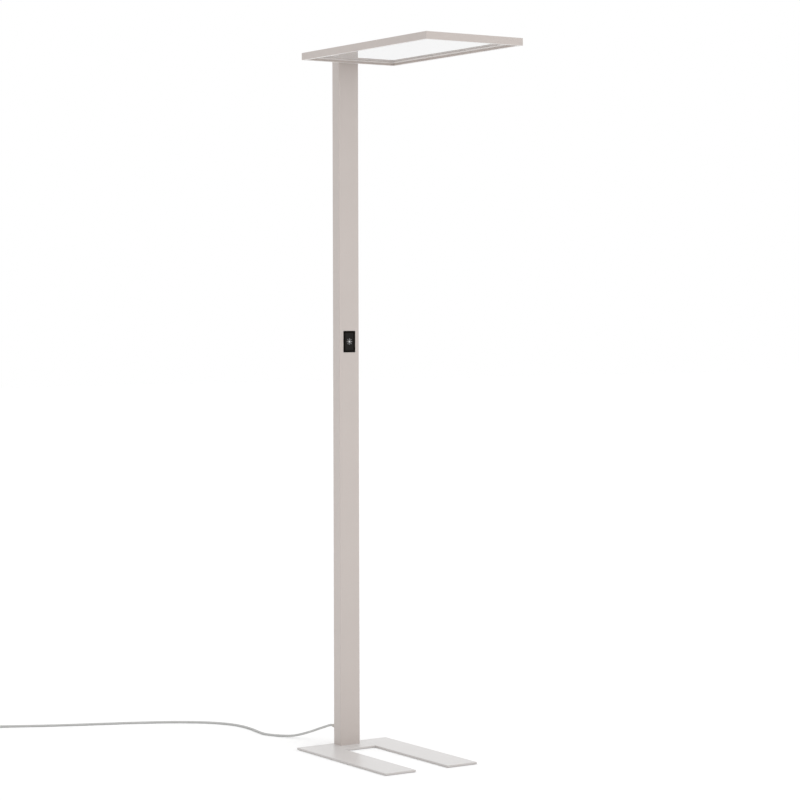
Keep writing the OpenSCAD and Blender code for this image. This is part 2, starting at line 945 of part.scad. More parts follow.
module board_screws() {
    color(steel)
        for (p = board_corners)
            translate([p[0], board_back_y, p[1]])
                mirror([0, 1, 0])
                    along_y()
                        cap_screw(board_screw_r, board_screw_head_r, board_screw_head_t,
                            board_screw_l, $fn = 24);
}

module switch_cover() {
    color(black_plastic)
        difference() {
            button_slab(skirt_w, skirt_h, skirt_back_y, skirt_back_y + switch_cover_t);
            translate([0, skirt_back_y - cut, button_z])
                along_y()
                    cylinder(r = switch_lead_r + slip, h = switch_cover_t + 2 * cut, $fn = 24);
        }
}

// ---------------------------------------------------------------- driver

driver_screw_z = [for (s = [-1, 1]) driver_z + s * (driver_l / 2 + driver_tab_l / 2)];

module driver_bracket() {
    color(steel)
        difference() {
            translate([-bracket_w / 2, bracket_front_y, driver_z - bracket_l / 2])
                cube([bracket_w, bracket_t, bracket_l]);
            for (s = [-1, 1])
                translate([0, bracket_front_y - cut, driver_z + s * (bracket_l / 2 - bracket_screw_in)])
                    along_y()
                        cylinder(r = rear_screw_r + thread_clear, h = bracket_t + 2 * cut);
            for (z = driver_screw_z)
                translate([0, bracket_front_y - cut, z])
                    along_y()
                        cylinder(r = driver_screw_r + thread_clear, h = bracket_t + 2 * cut, $fn = 24);
        }
}

module led_driver() {
    tab_y = bracket_front_y - driver_tab_t;
    color([0.9, 0.9, 0.88])
        difference() {
            union() {
                translate([-driver_w / 2, driver_front_y, driver_z - driver_l / 2])
                    cube([driver_w, driver_d, driver_l]);
                translate([-driver_w / 4, tab_y, driver_z - driver_l / 2 - driver_tab_l])
                    cube([driver_w / 2, driver_tab_t, driver_l + 2 * driver_tab_l]);
            }
            for (z = driver_screw_z)
                translate([0, tab_y - cut, z])
                    along_y()
                        cylinder(r = driver_screw_r + screw_clear, h = driver_tab_t + 2 * cut,
                            $fn = 24);
        }
}

module driver_screws() {
    color(steel)
        for (z = driver_screw_z)
            translate([0, bracket_front_y - driver_tab_t, z])
                along_y()
                    cap_screw(driver_screw_r, driver_screw_head_r, driver_screw_head_t,
                        driver_tab_t + bracket_t, $fn = 24);
}

module terminal_block() {
    color(opal)
        translate([-terminal_w / 2, bracket_front_y - terminal_d, terminal_z])
            cube([terminal_w, terminal_d, terminal_h]);
}

// Short wires from the terminal block up into the driver
module driver_wires() {
    top_z = driver_z - driver_l / 2;
    color([0.2, 0.3, 0.6])
        for (x = driver_wire_x)
            translate([x, bracket_front_y - terminal_d / 2, terminal_z + terminal_h])
                cylinder(r = strip_wire_r, h = top_z - terminal_z - terminal_h, $fn = 24);
}

// ---------------------------------------------------------------- leads inside

lead_y = bracket_front_y - terminal_d / 2;
mains_lead_x = -13;
mains_bend_r = 18;
mains_bend_start = [gland_x, inner_rear_y - gland_thread_l - cut, gland_z];
relief_tip = [gland_x, relief_end_y, gland_z];

module inner_mains_lead() {
    turned = quarter(mains_bend_start, [0, -1, 0], [0, 0, 1], mains_bend_r);
    path = concat(
        [relief_tip, relief_tip - [0, cord_d, 0], mains_bend_start],
        turned,
        [
            turned[quarter_steps - 1] + [0, 0, 30],
            [gland_x + 2, lead_y - 6, gland_z + 160],
            [mains_lead_x, lead_y, gland_z + 320],
            [mains_lead_x, lead_y, terminal_z - 2 * cord_d],
            [mains_lead_x, lead_y, terminal_z]
        ]
    );
    color(cable_grey)
        tube(path, cord_d / 2, cord_sides, [1, 0, 0]);
}

module led_lead() {
    start = [driver_w / 4, driver_front_y + 5, driver_z + driver_l / 2];
    up_y = inner_front_y + 9;
    bend_r = 7;
    turn = [0, up_y, head_screw_z - bend_r];
    path = concat(
        [
            start, start + [0, 0, 10], start + [-2, -2, 60], [2, up_y, start[2] + 160],
            [0, up_y, start[2] + 240], turn - [0, 0, 10], turn
        ],
        quarter(turn, [0, 0, 1], [0, -1, 0], bend_r),
        [[0, connector_back_y + 5, head_screw_z], [0, connector_back_y, head_screw_z]]
    );
    color(cable_grey)
        tube(path, led_lead_r, cord_sides, [1, 0, 0]);
}

module switch_lead() {
    start = [0, board_back_y, button_z];
    bend_r = 6;
    turn = [0, lead_y - bend_r, button_z];
    end = [10, lead_y, terminal_z];
    path = concat(
        [start, start + [0, 2, 0], turn],
        quarter(turn, [0, 1, 0], [0, 0, 1], bend_r),
        [end - [0, 0, (terminal_z - button_z) / 3], end - [0, 0, 8], end]
    );
    color(cable_grey)
        tube(path, switch_lead_r, cord_sides, [1, 0, 0]);
}

// ---------------------------------------------------------------- mains lead outside

module cable_gland() {
    color(cable_grey)
        translate([gland_x, 0, gland_z])
            difference() {
                union() {
                    translate([0, rear_y, 0])
                        along_y()
                            cylinder(d = gland_d, h = gland_l);
                    translate([0, inner_rear_y - gland_thread_l, 0])
                        along_y()
                            cylinder(r = gland_thread_r, h = gland_thread_l + column_wall + cut);
                }
                translate([0, inner_rear_y - gland_thread_l - cut, 0])
                    along_y()
                        cylinder(r = gland_bore_r,
                            h = gland_thread_l + column_wall + gland_l + 2 * cut);
            }
}

module gland_nut() {
    color(bare_metal)
        translate([gland_x, inner_rear_y - gland_nut_t, gland_z])
            along_y()
                difference() {
                    cylinder(d = gland_nut_across / cos(30), h = gland_nut_t, $fn = 6);
                    translate([0, 0, -cut])
                        cylinder(r = gland_thread_r + thread_clear, h = gland_nut_t + 2 * cut);
                }
}

module strain_relief() {
    color(cable_grey)
        translate([gland_x, relief_start_y, gland_z])
            along_y()
                rotate_extrude()
                    polygon([
                        [gland_bore_r, 0], [relief_thick_r, 0], [relief_thick_r, relief_l * 0.3],
                        [relief_tip_r, relief_l], [gland_bore_r, relief_l]
                    ]);
}

function smooth(t) = t * t * (3 - 2 * t);
function clamped(t) = max(0, min(1, t));

// Coil: inwards on the floor, up a layer in the half turn at the middle, and outwards again
function coil_radius(t) = coil_r - coil_pitch * min(t, coil_turns - t);
function coil_climb(t) = smooth(clamped(2 * (t - coil_turns / 2) + 0.5));
function coil_point(t) =
    let (r = coil_radius(t), a = coil_start_angle - 360 * t)
    [
        coil_centre[0] + r * cos(a),
        coil_centre[1] + r * sin(a),
        coil_low_z + coil_pitch * coil_climb(t)
    ];
coil_top_z = coil_low_z + coil_pitch;
coil_loops = [for (i = [0:coil_turns * coil_rings]) coil_point(i / coil_rings)];
coil_tail = [
    for (i = [0:tail_steps])
        [coil_centre[0] - cord_d - tail_rise * i / tail_steps, plug_y,
            coil_top_z + (plug_axis_z - coil_top_z) * smooth(i / tail_steps)]
];
coil_begin = coil_loops[0] + [cord_d, 0, 0];
coil_path = concat([coil_begin], coil_loops, coil_tail, [[plug_start_x, plug_y, plug_axis_z]]);

// Free lead: a smooth curve through the route's points, straight for a diameter at both ends
cord_points = concat(
    [relief_tip, relief_tip + [0, cord_d, 0]], route_points,
    [coil_begin + [2 * cord_d, 0, 0], coil_begin]
);
function between(p, i, t) =
    let (
        a = p[i - 1], b = p[i], c = p[i + 1], d = p[i + 2],
        slope = c - a, bend = 2 * a - 5 * b + 4 * c - d, twist = 3 * b - a - 3 * c + d
    )
    b + (slope * t + bend * t * t + twist * t * t * t) / 2;
cord_path = concat(
    [relief_tip],
    [
        for (i = [1:len(cord_points) - 3], k = [0:route_steps - 1])
            between(cord_points, i, k / route_steps)
    ],
    [coil_begin + [2 * cord_d, 0, 0], coil_begin + [cord_d, 0, 0], coil_begin]
);

// Least gap between turns of the coil that are not neighbours along the lead
coil_gap = min([
    for (i = [0:2:len(coil_loops) - 1], j = [i + coil_rings / 2:len(coil_loops) - 1])
        norm(coil_loops[i] - coil_loops[j])
]) - cord_d;
echo(coil_gap = coil_gap);
echo(free_lead = path_length(cord_path), coiled_lead = path_length(coil_path));

module mains_cord() {
    color(cable_grey)
        tube(cord_path, cord_d / 2, cord_sides);
}

module cord_coil() {
    color(cable_grey)
        tube(coil_path, cord_d / 2, coil_sides);
}

// Band round all the turns at one place of the coil
module cord_tie() {
    first_turn = (coil_start_angle - tie_angle) / 360;
    radii = [for (i = [0:coil_turns - 1]) coil_radius(first_turn + i)];
    inside = min(radii) - cord_d / 2 - tie_bend_gap;
    outside = max(radii) + cord_d / 2 + tie_gap;
    top = coil_top_z + cord_d / 2 + tie_gap;
    color(black_plastic)
        translate([coil_centre[0], coil_centre[1], 0])
            rotate([0, 0, tie_angle])
                translate([0, -tie_w / 2, 0])
                    difference() {
                        translate([inside - tie_t, 0, 0])
                            cube([outside - inside + 2 * tie_t, tie_w, top + tie_t]);
                        translate([inside, -cut, tie_t])
                            cube([outside - inside, tie_w + 2 * cut, top - tie_t]);
                    }
}

// What stands along +Z is laid along the plug, from its tail to its pins
module along_plug() {
    translate([plug_start_x, plug_y, plug_axis_z])
        rotate([0, -90, 0])
            children();
}

module plug_body() {
    body_end = plug_tail_l + plug_l;
    contact_at = plug_d / 2 - contact_t;
    color(cable_grey)
        along_plug()
            difference() {
                rotate_extrude()
                    polygon([
                        [0, 0], [plug_tip_r, 0], [plug_tail_r, plug_tail_l - 4],
                        [plug_d / 2 - plug_edge_r, plug_tail_l], [plug_d / 2, plug_tail_l + plug_edge_r],
                        [plug_d / 2, body_end], [0, body_end]
                    ]);
                for (y = [-1, 1])
                    translate([0, y * (contact_at + plug_d / 4), body_end - contact_l / 2 + cut / 2])
                        cube([contact_w + 2 * slip, plug_d / 2, contact_l + cut], center = true);
                for (x = [-1, 1])
                    translate([x * pin_spacing / 2, 0, body_end - pin_root])
                        cylinder(d = pin_d, h = pin_root + cut);
            }
}

// Springy earth strips, let into both sides of the plug
module plug_contacts() {
    color(bare_metal)
        along_plug()
            for (y = [-1, 1])
                translate([-contact_w / 2, y * (plug_d / 2 - contact_t / 2) - contact_t / 2,
                    plug_tail_l + plug_l - contact_l])
                    cube([contact_w, contact_t, contact_l]);
}

module plug_pins() {
    color(bare_metal)
        along_plug()
            for (x = [-1, 1])
                translate([x * pin_spacing / 2, 0, plug_tail_l + plug_l - pin_root])
                    cylinder(d = pin_d, h = pin_root + pin_l);
}

// ---------------------------------------------------------------- assembly

base_plate();
floor_pads();
base_screws();
foot_block();
column_tube();
column_cap();
cap_screws();
top_block();
rear_screws();
rail_left();
rail_right();
rail_front();
rail_rear();
corner_keys();
mount_bar();
head_screws();
diffuser();
light_guide();
led_strips();
strip_wires();
led_connector();
upper_diffuser();
hold_down_strips();
top_cover();
cover_screws();
switch_bezel();
button_key();
button_symbol();
switch_plunger();
tact_switch();
switch_board();
board_screws();
switch_cover();
driver_bracket();
led_driver();
driver_screws();
terminal_block();
driver_wires();
inner_mains_lead();
led_lead();
switch_lead();
cable_gland();
gland_nut();
strain_relief();
mains_cord();
cord_coil();
cord_tie();
plug_body();
plug_contacts();
plug_pins();
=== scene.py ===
"""Looks of the office floor lamp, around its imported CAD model. Metres, +Z up, the head reaches along -Y."""

import json
import math

import bmesh
import bpy
from mathutils import Matrix, Vector


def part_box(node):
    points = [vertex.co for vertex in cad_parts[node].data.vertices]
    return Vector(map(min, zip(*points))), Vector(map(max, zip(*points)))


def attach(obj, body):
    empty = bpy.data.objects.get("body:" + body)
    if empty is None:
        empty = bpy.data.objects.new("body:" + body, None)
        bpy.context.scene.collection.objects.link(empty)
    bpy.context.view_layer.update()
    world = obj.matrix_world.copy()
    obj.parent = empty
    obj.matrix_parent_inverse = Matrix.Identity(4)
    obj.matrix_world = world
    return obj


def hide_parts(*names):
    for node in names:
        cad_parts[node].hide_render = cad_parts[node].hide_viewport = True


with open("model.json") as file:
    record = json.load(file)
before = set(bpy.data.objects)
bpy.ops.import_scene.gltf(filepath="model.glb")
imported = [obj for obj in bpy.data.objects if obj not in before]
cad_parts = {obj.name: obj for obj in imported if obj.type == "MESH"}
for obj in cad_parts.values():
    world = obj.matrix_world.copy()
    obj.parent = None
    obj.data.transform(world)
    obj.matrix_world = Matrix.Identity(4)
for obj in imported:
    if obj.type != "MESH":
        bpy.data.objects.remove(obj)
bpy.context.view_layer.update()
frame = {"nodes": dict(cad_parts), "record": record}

LAMP = "lamp"
BUTTON = "button"

# ---------------------------------------------------------------- camera

CAMERA_AT = (-3.5729, -5.7292, 1.2309)
CAMERA_AZIMUTH = 33.25   # degrees, from +Y towards +X
CAMERA_ROLL = 0.15       # degrees
FOCAL_LENGTH = 107.36    # mm on a sensor 36 mm wide
SHIFT_Y = -0.1116


def make_camera():
    data = bpy.data.cameras.new("camera")
    data.sensor_width = 36
    data.lens = FOCAL_LENGTH
    data.shift_y = SHIFT_Y
    data.clip_end = 100
    camera = bpy.data.objects.new("camera", data)
    camera.location = CAMERA_AT
    camera.rotation_euler = [math.radians(a) for a in (90, CAMERA_ROLL, -CAMERA_AZIMUTH)]
    bpy.context.scene.collection.objects.link(camera)
    bpy.context.scene.camera = camera


# ---------------------------------------------------------------- materials

BUMP_DEPTH = 0.00005         # of orange peel and moulded grain, metres
METAL_BUMP_DEPTH = 0.00003
SHEEN_ROUGHNESS = 0.3        # lightens a painted face that is seen at a flat angle
GLOSS_ROUGHNESS = 0.02
GLOSS_IOR = 2.4
DRAWN_STRETCH = (1, 1, 12)   # a metal's grain, along Z


def node_material(name, colour, roughness, metallic=0.0):
    """A new node material and its shader."""
    mat = bpy.data.materials.new(name)
    mat.use_nodes = True
    mat.diffuse_color = (*colour, 1)
    shader = mat.node_tree.nodes["Principled BSDF"]
    shader.inputs["Base Color"].default_value = (*colour, 1)
    shader.inputs["Roughness"].default_value = roughness
    shader.inputs["Metallic"].default_value = metallic
    return mat, shader


def add_node(mat, kind, **inputs):
    node = mat.node_tree.nodes.new(kind)
    for key, value in inputs.items():
        node.inputs[key.replace("_", " ")].default_value = value
    return node


def noise(mat, size, detail, stretch=(1, 1, 1)):
    """Noise whose lumps are about size metres across, fixed to the piece."""
    place = mat.node_tree.nodes.new("ShaderNodeTexCoord")
    mapping = add_node(mat, "ShaderNodeMapping", Scale=stretch)
    texture = add_node(mat, "ShaderNodeTexNoise", Scale=0.5 / size, Detail=detail)
    mat.node_tree.links.new(place.outputs["Object"], mapping.inputs["Vector"])
    mat.node_tree.links.new(mapping.outputs["Vector"], texture.inputs["Vector"])
    return texture.outputs["Fac"]


def vary_colour(mat, shader, source, colour, amount):
    """The colour drifts by the given share, lighter and darker, with the source."""
    ramp = mat.node_tree.nodes.new("ShaderNodeValToRGB")
    ramp.color_ramp.elements[0].position = 0.3
    ramp.color_ramp.elements[1].position = 0.7
    ramp.color_ramp.elements[0].color = (*[c * (1 - amount) for c in colour], 1)
    ramp.color_ramp.elements[1].color = (*[min(1, c * (1 + amount)) for c in colour], 1)
    mat.node_tree.links.new(source, ramp.inputs["Fac"])
    mat.node_tree.links.new(ramp.outputs["Color"], shader.inputs["Base Color"])


def vary_roughness(mat, shader, source, low, high):
    span = mat.node_tree.nodes.new("ShaderNodeMapRange")
    span.inputs["To Min"].default_value = low
    span.inputs["To Max"].default_value = high
    mat.node_tree.links.new(source, span.inputs["Value"])
    mat.node_tree.links.new(span.outputs["Result"], shader.inputs["Roughness"])


def bump(mat, shader, source, strength, depth):
    node = add_node(mat, "ShaderNodeBump", Strength=strength, Distance=depth)
    mat.node_tree.links.new(source, node.inputs["Height"])
    mat.node_tree.links.new(node.outputs["Normal"], shader.inputs["Normal"])


def clear_coat(shader, roughness, ior):
    shader.inputs["Coat Weight"].default_value = 1.0
    shader.inputs["Coat Roughness"].default_value = roughness
    shader.inputs["Coat IOR"].default_value = ior


def coating(name, colour, roughness, peel, strength, coat_roughness, coat_ior, sheen):
    """Paint with an orange-peel skin and a faint drift of tone, under a clear coat."""
    mat, shader = node_material(name, colour, roughness)
    clear_coat(shader, coat_roughness, coat_ior)
    shader.inputs["Sheen Weight"].default_value = sheen
    shader.inputs["Sheen Roughness"].default_value = SHEEN_ROUGHNESS
    vary_colour(mat, shader, noise(mat, 0.12, 2), colour, 0.015)
    vary_roughness(mat, shader, noise(mat, 0.03, 4), roughness * 0.85, roughness * 1.15)
    bump(mat, shader, noise(mat, peel, 2), strength, BUMP_DEPTH)
    return mat


def plastic(name, colour, roughness, grain=0.0006, strength=0.25, drift=0.03, shine=0.5):
    """Moulded plastic with a fine grain."""
    mat, shader = node_material(name, colour, roughness)
    shader.inputs["Specular IOR Level"].default_value = shine
    vary_colour(mat, shader, noise(mat, 0.02, 4), colour, drift)
    vary_roughness(mat, shader, noise(mat, 0.004, 4), roughness * 0.9, roughness * 1.1)
    bump(mat, shader, noise(mat, grain, 2), strength, BUMP_DEPTH)
    return mat


def gloss_plastic(name, colour):
    """Polished sheet that mirrors at a flat angle."""
    mat, shader = node_material(name, colour, GLOSS_ROUGHNESS)
    shader.inputs["IOR"].default_value = GLOSS_IOR
    clear_coat(shader, GLOSS_ROUGHNESS, GLOSS_IOR)
    vary_colour(mat, shader, noise(mat, 0.05, 2), colour, 0.004)
    vary_roughness(mat, shader, noise(mat, 0.02, 2), 0.015, 0.03)
    return mat


def metal(name, colour, roughness):
    """Bare metal with a drawn or rolled grain."""
    mat, shader = node_material(name, colour, roughness, metallic=1.0)
    grain = noise(mat, 0.0012, 5, DRAWN_STRETCH)
    vary_colour(mat, shader, grain, colour, 0.06)
    vary_roughness(mat, shader, grain, roughness - 0.08, roughness + 0.08)
    bump(mat, shader, grain, 0.15, METAL_BUMP_DEPTH)
    return mat


# Linear colours
PAINT = (0.534, 0.475, 0.443)
BASE_PAINT = (0.53, 0.50, 0.485)
OPAL = (0.8, 0.81, 0.815)
BLACK = (0.004, 0.003, 0.002)
KEY = (0.009, 0.008, 0.007)
CABLE = (0.50, 0.50, 0.49)
GLAND = (0.50, 0.47, 0.44)


def make_materials():
    """One material for each slot of the record."""
    return {
        "paint": coating("paint", PAINT, 0.45, peel=0.0007, strength=0.05,
                         coat_roughness=0.3, coat_ior=1.5, sheen=0.95),
        "base_paint": coating("base_paint", BASE_PAINT, 0.5, peel=0.0012, strength=0.05,
                              coat_roughness=0.3, coat_ior=1.7, sheen=0.7),
        "opal": gloss_plastic("opal", OPAL),
        "clear_acrylic": plastic("clear_acrylic", (0.85, 0.9, 0.92), 0.12, grain=0.004, strength=0.05,
                                 drift=0.01),
        "black_plastic": plastic("black_plastic", BLACK, 0.42, grain=0.0004, strength=0.4, shine=0.05),
        "key_plastic": plastic("key_plastic", KEY, 0.5, grain=0.0004, strength=0.4, shine=0.15),
        "white_print": plastic("white_print", (0.56, 0.56, 0.56), 0.5),
        "ivory_plastic": plastic("ivory_plastic", (0.75, 0.72, 0.62), 0.35),
        "white_plastic": plastic("white_plastic", (0.8, 0.8, 0.78), 0.4),
        "board": plastic("board", (0.04, 0.2, 0.08), 0.3),
        "led_board": plastic("led_board", (0.8, 0.8, 0.75), 0.35),
        "foam": plastic("foam", (0.06, 0.06, 0.06), 0.9, grain=0.001, strength=0.8),
        "steel": metal("steel", (0.55, 0.55, 0.57), 0.32),
        "aluminium": metal("aluminium", (0.7, 0.7, 0.72), 0.35),
        "pad_rubber": plastic("pad_rubber", (0.03, 0.03, 0.03), 0.8, grain=0.0008, strength=0.5),
        "lead_plastic": plastic("lead_plastic", CABLE, 0.5, grain=0.0008, strength=0.15),
        "gland_plastic": plastic("gland_plastic", GLAND, 0.45, grain=0.0008, strength=0.15),
        "wire_plastic": plastic("wire_plastic", (0.1, 0.2, 0.5), 0.4),
    }


def dress_cad(materials):
    """Gives each CAD node the material of its slot."""
    for part in frame["record"]["subparts"]:
        data = frame["nodes"][part["node"]].data
        data.materials.clear()
        data.materials.append(materials[part["material_slot"]])


# ---------------------------------------------------------------- mesh helpers

def smooth_by_angle(data, degrees=35):
    data.shade_smooth()
    data.set_sharp_from_angle(angle=math.radians(degrees))


def new_piece(name, data, slot, body, *nodes):
    """A piece of the object: its material, its body and the CAD nodes that it stands for."""
    obj = bpy.data.objects.new(name, data)
    bpy.context.scene.collection.objects.link(obj)
    data.materials.append(MATERIALS[slot])
    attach(obj, body)
    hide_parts(*nodes)
    return obj


def round_edges(obj, width, segments=3):
    bevel = obj.modifiers.new("edges", "BEVEL")
    bevel.width = width
    bevel.segments = segments
    bevel.limit_method = "ANGLE"
    bevel.angle_limit = math.radians(40)
    bevel.harden_normals = True


def loft(rings, closed_ends=True):
    """Mesh through rings of equally many points."""
    data = bpy.data.meshes.new("mesh")
    count = len(rings[0])
    faces = [
        (i * count + k, i * count + (k + 1) % count, (i + 1) * count + (k + 1) % count, (i + 1) * count + k)
        for i in range(len(rings) - 1)
        for k in range(count)
    ]
    if closed_ends:
        faces.append(tuple(reversed(range(count))))
        faces.append(tuple(range((len(rings) - 1) * count, len(rings) * count)))
    data.from_pydata([p for ring in rings for p in ring], [], faces)
    rebuild_normals(data)
    return data


def rebuild_normals(data):
    work = bmesh.new()
    work.from_mesh(data)
    bmesh.ops.remove_doubles(work, verts=work.verts, dist=1e-7)
    bmesh.ops.recalc_face_normals(work, faces=work.faces)
    work.to_mesh(data)
    work.free()


def lathe(profile, at, axis, sides=64):
    """Round piece: profile holds (radius, distance along the axis) from end to end."""
    turn = Vector((0, 0, 1)).rotation_difference(Vector(axis)).to_matrix().to_4x4()
    place = Matrix.Translation(at) @ turn
    rings = [
        [place @ Vector((r * math.cos(a), r * math.sin(a), h))
         for a in (2 * math.pi * k / sides for k in range(sides))]
        for r, h in profile
    ]
    data = loft(rings)
    smooth_by_angle(data)
    return data


def join(*parts):
    """One mesh of several."""
    work = bmesh.new()
    for data in parts:
        work.from_mesh(data)
    data = bpy.data.meshes.new("mesh")
    work.to_mesh(data)
    work.free()
    return data


def slab(low, high):
    """Block between two corners."""
    (x0, y0, z0), (x1, y1, z1) = low, high
    return loft([[(x0, y0, z), (x1, y0, z), (x1, y1, z), (x0, y1, z)] for z in (z0, z1)])


def window_frame(outer, inner, y0, y1, middle_z):
    """Ring in the XZ plane, from depth y0 to y1; outer and inner are (width, height, corner radius)."""
    def outline(size, y):
        width, height, r = size
        points = []
        for quarter, (x, z) in enumerate(((1, 1), (-1, 1), (-1, -1), (1, -1))):
            for step in range(CORNER_STEPS + 1):
                a = math.radians(90 * (quarter + step / CORNER_STEPS))
                points.append((x * (width / 2 - r) + r * math.cos(a), y,
                               middle_z + z * (height / 2 - r) + r * math.sin(a)))
        return points

    return loft([outline(outer, y0), outline(outer, y1), outline(inner, y1), outline(inner, y0),
                 outline(outer, y0)], closed_ends=False)


# ---------------------------------------------------------------- mains lead

# The route and the sizes are those of the solids
CORD_D = 0.0065
RELIEF_TIP = Vector((-0.02, 0.044, 0.054))
COIL_CENTRE = (-0.742, 0.884)
COIL_R = 0.047
COIL_PITCH = 0.0071
COIL_TURNS = 5
COIL_START_ANGLE = 270
TIE_ROOM = 0.0009        # the tie's strap and its gap, under the coil
TAIL_RISE = 0.062
PLUG_D = 0.037
PLUG_CLEAR = 0.0003
PLUG_TAIL_L = 0.024
PLUG_BODY_L = 0.034
PLUG_EDGE_R = 0.003      # between the tail and the body
PLUG_BEVEL = 0.0008      # at the face with the pins
PIN_ROOT = 0.001         # how far a pin reaches into the body
GRIP_RINGS = 4
GRIP_AT = 0.009          # the first ring, from the body's start
GRIP_PITCH = 0.0042
GRIP_HALF_W = 0.001
GRIP_HALF_FLOOR = 0.0003
GRIP_DEPTH = 0.0006
ROUTE = [
    (-0.021, 0.064, 0.0508), (-0.023, 0.088, 0.0428), (-0.027, 0.112, 0.0345), (-0.034, 0.138, 0.0246),
    (-0.043, 0.164, 0.0155), (-0.054, 0.187, 0.0085), (-0.066, 0.206, 0.0048), (-0.082, 0.228, 0.0037),
    (-0.097, 0.253, 0.0034), (-0.106, 0.282, 0.0034), (-0.105, 0.312, 0.0034), (-0.101, 0.342, 0.0034),
    (-0.097, 0.380, 0.0034), (-0.097, 0.420, 0.0034), (-0.103, 0.458, 0.0034), (-0.118, 0.496, 0.0034),
    (-0.144, 0.534, 0.0034), (-0.182, 0.570, 0.0034), (-0.232, 0.606, 0.0034), (-0.292, 0.640, 0.0034),
    (-0.360, 0.672, 0.0034), (-0.432, 0.702, 0.0034), (-0.504, 0.732, 0.0034), (-0.574, 0.764, 0.0034),
    (-0.640, 0.798, 0.0034), (-0.694, 0.826, 0.0036),
]
ROUTE_STEPS = 6
COIL_STEPS = 48          # points to a turn
TAIL_STEPS = 16
COIL_LOW_Z = CORD_D / 2 + TIE_ROOM
COIL_TOP_Z = COIL_LOW_Z + COIL_PITCH
PLUG_AT = Vector((COIL_CENTRE[0] - 2 * CORD_D - TAIL_RISE, COIL_CENTRE[1] - COIL_R, PLUG_D / 2 + PLUG_CLEAR))


def ease(t):
    t = max(0.0, min(1.0, t))
    return t * t * (3 - 2 * t)


def coil_point(t):
    """Point after t turns: inwards on the floor, up at the middle, and outwards again on top."""
    r = COIL_R - COIL_PITCH * min(t, COIL_TURNS - t)
    a = math.radians(COIL_START_ANGLE - 360 * t)
    up = ease(2 * (t - COIL_TURNS / 2) + 0.5)
    return Vector((COIL_CENTRE[0] + r * math.cos(a), COIL_CENTRE[1] + r * math.sin(a),
                   COIL_LOW_Z + COIL_PITCH * up))


def between(a, b, c, d, t):
    """Point of the smooth curve from b to c, between their neighbours a and d."""
    slope, bend, twist = c - a, 2 * a - 5 * b + 4 * c - d, 3 * b - a - 3 * c + d
    return b + (slope * t + bend * t ** 2 + twist * t ** 3) / 2


def cord_line():
    along = Vector((CORD_D, 0, 0))
    coil_begin = coil_point(0) + along
    stops = [RELIEF_TIP, RELIEF_TIP + Vector((0, CORD_D, 0)), *map(Vector, ROUTE),
             coil_begin + 2 * along, coil_begin]
    line = [RELIEF_TIP]
    for i in range(1, len(stops) - 2):
        line += [between(*stops[i - 1:i + 3], k / ROUTE_STEPS) for k in range(ROUTE_STEPS)]
    line += [coil_begin + 2 * along, coil_begin + along, coil_begin]
    line += [coil_point(i / COIL_STEPS) for i in range(COIL_TURNS * COIL_STEPS + 1)]
    for i in range(TAIL_STEPS + 1):
        share = i / TAIL_STEPS
        line.append(Vector((COIL_CENTRE[0] - CORD_D - TAIL_RISE * share, PLUG_AT.y,
                            COIL_TOP_Z + (PLUG_AT.z - COIL_TOP_Z) * ease(share))))
    return line + [PLUG_AT]


def line_length(line):
    return sum((b - a).length for a, b in zip(line, line[1:]))


def make_cord():
    line = cord_line()
    data = bpy.data.curves.new("lead", "CURVE")
    data.dimensions = "3D"
    data.bevel_depth = CORD_D / 2
    data.bevel_resolution = 6
    data.use_fill_caps = True
    data.twist_mode = "Z_UP"
    spline = data.splines.new("POLY")
    spline.points.add(len(line) - 1)
    for point, place in zip(spline.points, line):
        point.co = (*place, 1)
    spline.use_smooth = True
    return new_piece("lead", data, "lead_plastic", LAMP, "mains_cord", "cord_coil"), line_length(line)


def make_plug():
    """Plug body with grip rings, on the axis of its tail."""
    r = PLUG_D / 2
    profile = [(0.00425, 0)]
    for i in range(9):
        profile.append((0.0046 + 0.0044 * i / 8, 0.001 + 0.0185 * i / 8))
    profile.append((r - 0.0045, PLUG_TAIL_L - 0.0012))
    for i in range(7):
        a = math.radians(90 * i / 6)
        profile.append((r - PLUG_EDGE_R + PLUG_EDGE_R * math.sin(a),
                        PLUG_TAIL_L + PLUG_EDGE_R - PLUG_EDGE_R * math.cos(a)))
    for i in range(GRIP_RINGS):
        at = PLUG_TAIL_L + GRIP_AT + GRIP_PITCH * i
        profile += [(r, at - GRIP_HALF_W), (r - GRIP_DEPTH, at - GRIP_HALF_FLOOR),
                    (r - GRIP_DEPTH, at + GRIP_HALF_FLOOR), (r, at + GRIP_HALF_W)]
    end = PLUG_TAIL_L + PLUG_BODY_L
    profile += [(r, end - PLUG_BEVEL), (r - PLUG_BEVEL, end)]
    return new_piece("plug", lathe(profile, PLUG_AT, (-1, 0, 0), 72), "lead_plastic", LAMP, "plug_body")


def make_plug_pins():
    low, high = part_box("plug_pins")
    r = (high.y - low.y) / 2
    root = PLUG_AT.x - PLUG_TAIL_L - PLUG_BODY_L
    length = root - low.x
    parts = []
    for z in (low.z + r, high.z - r):
        profile = [(r, -PIN_ROOT), (r, length - r)]
        profile += [(r * math.cos(a), length - r + r * math.sin(a))
                    for a in (math.radians(15 * i) for i in range(1, 6))]
        parts.append(lathe(profile, (root, PLUG_AT.y, z), (-1, 0, 0), 32))
    return new_piece("plug_pins_round", join(*parts), "steel", LAMP, "plug_pins")


# ---------------------------------------------------------------- base

BASE_CORNER_R = 0.002
BASE_EDGE_R = 0.0017
LEG_W = 0.097
REAR_BAR_L = 0.097


